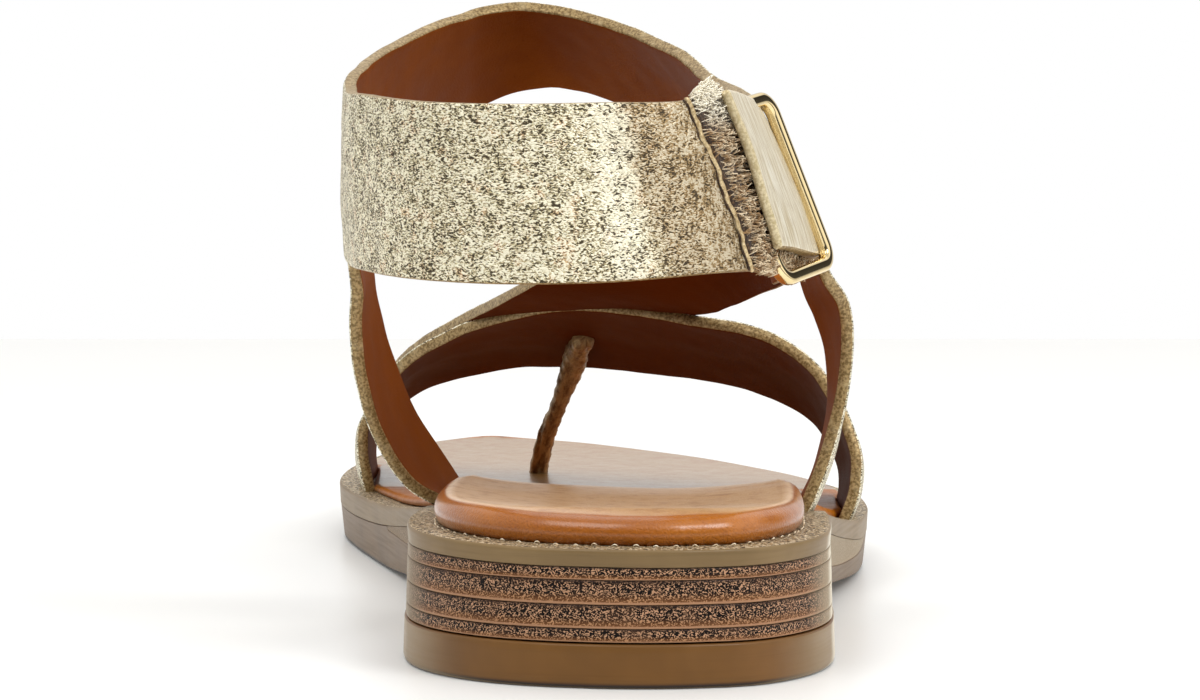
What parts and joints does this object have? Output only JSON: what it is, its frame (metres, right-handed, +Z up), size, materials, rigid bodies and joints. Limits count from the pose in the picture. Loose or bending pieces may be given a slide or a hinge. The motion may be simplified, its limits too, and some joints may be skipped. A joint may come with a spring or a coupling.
{
  "type": "strappy flat sandal",
  "caption": "Right-foot flat sandal with toe post, crossed instep straps and a wide ankle cuff closed by a hook-and-loop tab through a rectangular ring, on a low stacked heel.",
  "frame": {"origin": "on the floor under the middle of the bounding box", "axes": "+Y towards the toe, +X towards the lateral side of the right foot, +Z up"},
  "size_m": [0.0872, 0.249, 0.0901],
  "materials": {
    "outsole": "matte",
    "rand": "satin",
    "heel_stack": "matte",
    "top_piece": "satin",
    "insole": "satin",
    "upper": "metallic satin",
    "toe_post": "metallic satin",
    "loop_pile": "fuzzy",
    "ring": "polished"
  },
  "bodies": {
    "root": {"outsole": "outsole", "rand": "rand", "heel_lift_1": "heel_stack", "heel_lift_2": "heel_stack", "heel_lift_3": "heel_stack", "heel_lift_4": "heel_stack", "top_piece": "top_piece", "insole": "insole", "upper": "upper", "toe_post": "toe_post", "loop_patch": "loop_pile", "buckle_ring": "ring"}
  },
  "joints": []
}
